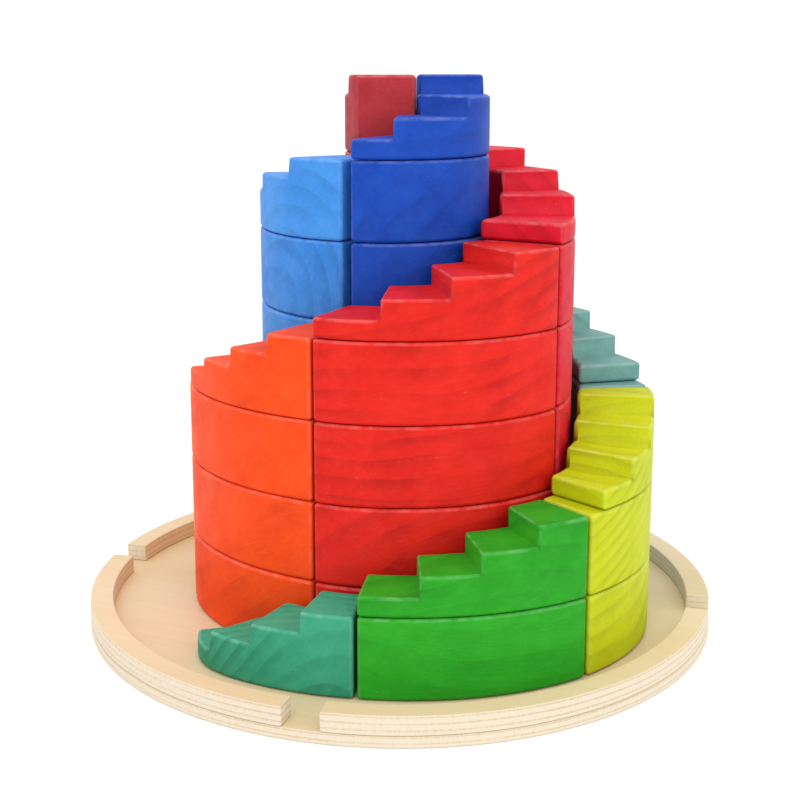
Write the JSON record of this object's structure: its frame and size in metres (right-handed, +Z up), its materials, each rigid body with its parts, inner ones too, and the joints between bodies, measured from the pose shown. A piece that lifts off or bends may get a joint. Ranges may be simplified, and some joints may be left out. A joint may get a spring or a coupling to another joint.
{
  "type": "stacking block tower on tray",
  "caption": "Two rainbow-stained spirals of curved wooden blocks climb to a narrow top, each column ending in a stair block, on a round plywood tray with a notched rim.",
  "frame": {"origin": "centre of the tray's underside", "axes": "+Z up the tower, -Y towards the front, where the green and red stairs face; +X to the right, where the yellow stair is"},
  "size_m": [0.291, 0.2909, 0.25],
  "materials": {
    "teal_stain": "transparent water stain, satin",
    "green_stain": "transparent water stain, satin",
    "yellow_stain": "transparent water stain, satin",
    "mint_stain": "transparent water stain, satin",
    "turquoise_stain": "transparent water stain, satin",
    "light_blue_stain": "transparent water stain, satin",
    "dark_blue_stain": "transparent water stain, satin",
    "lemon_stain": "transparent water stain, satin",
    "golden_stain": "transparent water stain, satin",
    "amber_stain": "transparent water stain, satin",
    "orange_stain": "transparent water stain, satin",
    "red_stain": "transparent water stain, satin",
    "crimson_stain": "transparent water stain, satin",
    "dark_red_stain": "transparent water stain, satin",
    "tray_plywood": "clear satin lacquer over birch plywood"
  },
  "bodies": {
    "tray": {"tray": "tray_plywood"},
    "teal_stair": {"teal_stair": "teal_stain"},
    "green_arc_1": {"green_arc_1": "green_stain"},
    "green_stair": {"green_stair": "green_stain"},
    "yellow_arc_1": {"yellow_arc_1": "yellow_stain"},
    "yellow_arc_2": {"yellow_arc_2": "yellow_stain"},
    "yellow_stair": {"yellow_stair": "yellow_stain"},
    "mint_arc_1": {"mint_arc_1": "mint_stain"},
    "mint_arc_2": {"mint_arc_2": "mint_stain"},
    "mint_arc_3": {"mint_arc_3": "mint_stain"},
    "mint_stair": {"mint_stair": "mint_stain"},
    "turquoise_arc_1": {"turquoise_arc_1": "turquoise_stain"},
    "turquoise_arc_2": {"turquoise_arc_2": "turquoise_stain"},
    "turquoise_arc_3": {"turquoise_arc_3": "turquoise_stain"},
    "turquoise_arc_4": {"turquoise_arc_4": "turquoise_stain"},
    "turquoise_stair": {"turquoise_stair": "turquoise_stain"},
    "light_blue_arc_1": {"light_blue_arc_1": "light_blue_stain"},
    "light_blue_arc_2": {"light_blue_arc_2": "light_blue_stain"},
    "light_blue_arc_3": {"light_blue_arc_3": "light_blue_stain"},
    "light_blue_arc_4": {"light_blue_arc_4": "light_blue_stain"},
    "light_blue_arc_5": {"light_blue_arc_5": "light_blue_stain"},
    "light_blue_stair": {"light_blue_stair": "light_blue_stain"},
    "dark_blue_arc_1": {"dark_blue_arc_1": "dark_blue_stain"},
    "dark_blue_arc_2": {"dark_blue_arc_2": "dark_blue_stain"},
    "dark_blue_arc_3": {"dark_blue_arc_3": "dark_blue_stain"},
    "dark_blue_arc_4": {"dark_blue_arc_4": "dark_blue_stain"},
    "dark_blue_arc_5": {"dark_blue_arc_5": "dark_blue_stain"},
    "dark_blue_arc_6": {"dark_blue_arc_6": "dark_blue_stain"},
    "dark_blue_stair": {"dark_blue_stair": "dark_blue_stain"},
    "lemon_stair": {"lemon_stair": "lemon_stain"},
    "golden_arc_1": {"golden_arc_1": "golden_stain"},
    "golden_stair": {"golden_stair": "golden_stain"},
    "amber_arc_1": {"amber_arc_1": "amber_stain"},
    "amber_arc_2": {"amber_arc_2": "amber_stain"},
    "amber_stair": {"amber_stair": "amber_stain"},
    "orange_arc_1": {"orange_arc_1": "orange_stain"},
    "orange_arc_2": {"orange_arc_2": "orange_stain"},
    "orange_arc_3": {"orange_arc_3": "orange_stain"},
    "orange_stair": {"orange_stair": "orange_stain"},
    "red_arc_1": {"red_arc_1": "red_stain"},
    "red_arc_2": {"red_arc_2": "red_stain"},
    "red_arc_3": {"red_arc_3": "red_stain"},
    "red_arc_4": {"red_arc_4": "red_stain"},
    "red_stair": {"red_stair": "red_stain"},
    "crimson_arc_1": {"crimson_arc_1": "crimson_stain"},
    "crimson_arc_2": {"crimson_arc_2": "crimson_stain"},
    "crimson_arc_3": {"crimson_arc_3": "crimson_stain"},
    "crimson_arc_4": {"crimson_arc_4": "crimson_stain"},
    "crimson_arc_5": {"crimson_arc_5": "crimson_stain"},
    "crimson_stair": {"crimson_stair": "crimson_stain"},
    "dark_red_arc_1": {"dark_red_arc_1": "dark_red_stain"},
    "dark_red_arc_2": {"dark_red_arc_2": "dark_red_stain"},
    "dark_red_arc_3": {"dark_red_arc_3": "dark_red_stain"},
    "dark_red_arc_4": {"dark_red_arc_4": "dark_red_stain"},
    "dark_red_arc_5": {"dark_red_arc_5": "dark_red_stain"},
    "dark_red_arc_6": {"dark_red_arc_6": "dark_red_stain"},
    "dark_red_stair": {"dark_red_stair": "dark_red_stain"}
  },
  "joints": [
    {"name": "teal_stair_lift", "type": "slide", "parent": "tray", "child": "teal_stair", "axis": [0, 0, 1], "range_m": [0, 0.06]},
    {"name": "green_arc_1_lift", "type": "slide", "parent": "tray", "child": "green_arc_1", "axis": [0, 0, 1], "range_m": [0, 0.06]},
    {"name": "green_stair_lift", "type": "slide", "parent": "green_arc_1", "child": "green_stair", "axis": [0, 0, 1], "range_m": [0, 0.06]},
    {"name": "yellow_arc_1_lift", "type": "slide", "parent": "tray", "child": "yellow_arc_1", "axis": [0, 0, 1], "range_m": [0, 0.06]},
    {"name": "yellow_arc_2_lift", "type": "slide", "parent": "yellow_arc_1", "child": "yellow_arc_2", "axis": [0, 0, 1], "range_m": [0, 0.06]},
    {"name": "yellow_stair_lift", "type": "slide", "parent": "yellow_arc_2", "child": "yellow_stair", "axis": [0, 0, 1], "range_m": [0, 0.06]},
    {"name": "mint_arc_1_lift", "type": "slide", "parent": "tray", "child": "mint_arc_1", "axis": [0, 0, 1], "range_m": [0, 0.06]},
    {"name": "mint_arc_2_lift", "type": "slide", "parent": "mint_arc_1", "child": "mint_arc_2", "axis": [0, 0, 1], "range_m": [0, 0.06]},
    {"name": "mint_arc_3_lift", "type": "slide", "parent": "mint_arc_2", "child": "mint_arc_3", "axis": [0, 0, 1], "range_m": [0, 0.06]},
    {"name": "mint_stair_lift", "type": "slide", "parent": "mint_arc_3", "child": "mint_stair", "axis": [0, 0, 1], "range_m": [0, 0.06]},
    {"name": "turquoise_arc_1_lift", "type": "slide", "parent": "tray", "child": "turquoise_arc_1", "axis": [0, 0, 1], "range_m": [0, 0.06]},
    {"name": "turquoise_arc_2_lift", "type": "slide", "parent": "turquoise_arc_1", "child": "turquoise_arc_2", "axis": [0, 0, 1], "range_m": [0, 0.06]},
    {"name": "turquoise_arc_3_lift", "type": "slide", "parent": "turquoise_arc_2", "child": "turquoise_arc_3", "axis": [0, 0, 1], "range_m": [0, 0.06]},
    {"name": "turquoise_arc_4_lift", "type": "slide", "parent": "turquoise_arc_3", "child": "turquoise_arc_4", "axis": [0, 0, 1], "range_m": [0, 0.06]},
    {"name": "turquoise_stair_lift", "type": "slide", "parent": "turquoise_arc_4", "child": "turquoise_stair", "axis": [0, 0, 1], "range_m": [0, 0.06]},
    {"name": "light_blue_arc_1_lift", "type": "slide", "parent": "tray", "child": "light_blue_arc_1", "axis": [0, 0, 1], "range_m": [0, 0.06]},
    {"name": "light_blue_arc_2_lift", "type": "slide", "parent": "light_blue_arc_1", "child": "light_blue_arc_2", "axis": [0, 0, 1], "range_m": [0, 0.06]},
    {"name": "light_blue_arc_3_lift", "type": "slide", "parent": "light_blue_arc_2", "child": "light_blue_arc_3", "axis": [0, 0, 1], "range_m": [0, 0.06]},
    {"name": "light_blue_arc_4_lift", "type": "slide", "parent": "light_blue_arc_3", "child": "light_blue_arc_4", "axis": [0, 0, 1], "range_m": [0, 0.06]},
    {"name": "light_blue_arc_5_lift", "type": "slide", "parent": "light_blue_arc_4", "child": "light_blue_arc_5", "axis": [0, 0, 1], "range_m": [0, 0.06]},
    {"name": "light_blue_stair_lift", "type": "slide", "parent": "light_blue_arc_5", "child": "light_blue_stair", "axis": [0, 0, 1], "range_m": [0, 0.06]},
    {"name": "dark_blue_arc_1_lift", "type": "slide", "parent": "tray", "child": "dark_blue_arc_1", "axis": [0, 0, 1], "range_m": [0, 0.06]},
    {"name": "dark_blue_arc_2_lift", "type": "slide", "parent": "dark_blue_arc_1", "child": "dark_blue_arc_2", "axis": [0, 0, 1], "range_m": [0, 0.06]},
    {"name": "dark_blue_arc_3_lift", "type": "slide", "parent": "dark_blue_arc_2", "child": "dark_blue_arc_3", "axis": [0, 0, 1], "range_m": [0, 0.06]},
    {"name": "dark_blue_arc_4_lift", "type": "slide", "parent": "dark_blue_arc_3", "child": "dark_blue_arc_4", "axis": [0, 0, 1], "range_m": [0, 0.06]},
    {"name": "dark_blue_arc_5_lift", "type": "slide", "parent": "dark_blue_arc_4", "child": "dark_blue_arc_5", "axis": [0, 0, 1], "range_m": [0, 0.06]},
    {"name": "dark_blue_arc_6_lift", "type": "slide", "parent": "dark_blue_arc_5", "child": "dark_blue_arc_6", "axis": [0, 0, 1], "range_m": [0, 0.06]},
    {"name": "dark_blue_stair_lift", "type": "slide", "parent": "dark_blue_arc_6", "child": "dark_blue_stair", "axis": [0, 0, 1], "range_m": [0, 0.06]},
    {"name": "lemon_stair_lift", "type": "slide", "parent": "tray", "child": "lemon_stair", "axis": [0, 0, 1], "range_m": [0, 0.06]},
    {"name": "golden_arc_1_lift", "type": "slide", "parent": "tray", "child": "golden_arc_1", "axis": [0, 0, 1], "range_m": [0, 0.06]},
    {"name": "golden_stair_lift", "type": "slide", "parent": "golden_arc_1", "child": "golden_stair", "axis": [0, 0, 1], "range_m": [0, 0.06]},
    {"name": "amber_arc_1_lift", "type": "slide", "parent": "tray", "child": "amber_arc_1", "axis": [0, 0, 1], "range_m": [0, 0.06]},
    {"name": "amber_arc_2_lift", "type": "slide", "parent": "amber_arc_1", "child": "amber_arc_2", "axis": [0, 0, 1], "range_m": [0, 0.06]},
    {"name": "amber_stair_lift", "type": "slide", "parent": "amber_arc_2", "child": "amber_stair", "axis": [0, 0, 1], "range_m": [0, 0.06]},
    {"name": "orange_arc_1_lift", "type": "slide", "parent": "tray", "child": "orange_arc_1", "axis": [0, 0, 1], "range_m": [0, 0.06]},
    {"name": "orange_arc_2_lift", "type": "slide", "parent": "orange_arc_1", "child": "orange_arc_2", "axis": [0, 0, 1], "range_m": [0, 0.06]},
    {"name": "orange_arc_3_lift", "type": "slide", "parent": "orange_arc_2", "child": "orange_arc_3", "axis": [0, 0, 1], "range_m": [0, 0.06]},
    {"name": "orange_stair_lift", "type": "slide", "parent": "orange_arc_3", "child": "orange_stair", "axis": [0, 0, 1], "range_m": [0, 0.06]},
    {"name": "red_arc_1_lift", "type": "slide", "parent": "tray", "child": "red_arc_1", "axis": [0, 0, 1], "range_m": [0, 0.06]},
    {"name": "red_arc_2_lift", "type": "slide", "parent": "red_arc_1", "child": "red_arc_2", "axis": [0, 0, 1], "range_m": [0, 0.06]},
    {"name": "red_arc_3_lift", "type": "slide", "parent": "red_arc_2", "child": "red_arc_3", "axis": [0, 0, 1], "range_m": [0, 0.06]},
    {"name": "red_arc_4_lift", "type": "slide", "parent": "red_arc_3", "child": "red_arc_4", "axis": [0, 0, 1], "range_m": [0, 0.06]},
    {"name": "red_stair_lift", "type": "slide", "parent": "red_arc_4", "child": "red_stair", "axis": [0, 0, 1], "range_m": [0, 0.06]},
    {"name": "crimson_arc_1_lift", "type": "slide", "parent": "tray", "child": "crimson_arc_1", "axis": [0, 0, 1], "range_m": [0, 0.06]},
    {"name": "crimson_arc_2_lift", "type": "slide", "parent": "crimson_arc_1", "child": "crimson_arc_2", "axis": [0, 0, 1], "range_m": [0, 0.06]},
    {"name": "crimson_arc_3_lift", "type": "slide", "parent": "crimson_arc_2", "child": "crimson_arc_3", "axis": [0, 0, 1], "range_m": [0, 0.06]},
    {"name": "crimson_arc_4_lift", "type": "slide", "parent": "crimson_arc_3", "child": "crimson_arc_4", "axis": [0, 0, 1], "range_m": [0, 0.06]},
    {"name": "crimson_arc_5_lift", "type": "slide", "parent": "crimson_arc_4", "child": "crimson_arc_5", "axis": [0, 0, 1], "range_m": [0, 0.06]},
    {"name": "crimson_stair_lift", "type": "slide", "parent": "crimson_arc_5", "child": "crimson_stair", "axis": [0, 0, 1], "range_m": [0, 0.06]},
    {"name": "dark_red_arc_1_lift", "type": "slide", "parent": "tray", "child": "dark_red_arc_1", "axis": [0, 0, 1], "range_m": [0, 0.06]},
    {"name": "dark_red_arc_2_lift", "type": "slide", "parent": "dark_red_arc_1", "child": "dark_red_arc_2", "axis": [0, 0, 1], "range_m": [0, 0.06]},
    {"name": "dark_red_arc_3_lift", "type": "slide", "parent": "dark_red_arc_2", "child": "dark_red_arc_3", "axis": [0, 0, 1], "range_m": [0, 0.06]},
    {"name": "dark_red_arc_4_lift", "type": "slide", "parent": "dark_red_arc_3", "child": "dark_red_arc_4", "axis": [0, 0, 1], "range_m": [0, 0.06]},
    {"name": "dark_red_arc_5_lift", "type": "slide", "parent": "dark_red_arc_4", "child": "dark_red_arc_5", "axis": [0, 0, 1], "range_m": [0, 0.06]},
    {"name": "dark_red_arc_6_lift", "type": "slide", "parent": "dark_red_arc_5", "child": "dark_red_arc_6", "axis": [0, 0, 1], "range_m": [0, 0.06]},
    {"name": "dark_red_stair_lift", "type": "slide", "parent": "dark_red_arc_6", "child": "dark_red_stair", "axis": [0, 0, 1], "range_m": [0, 0.06]}
  ]
}
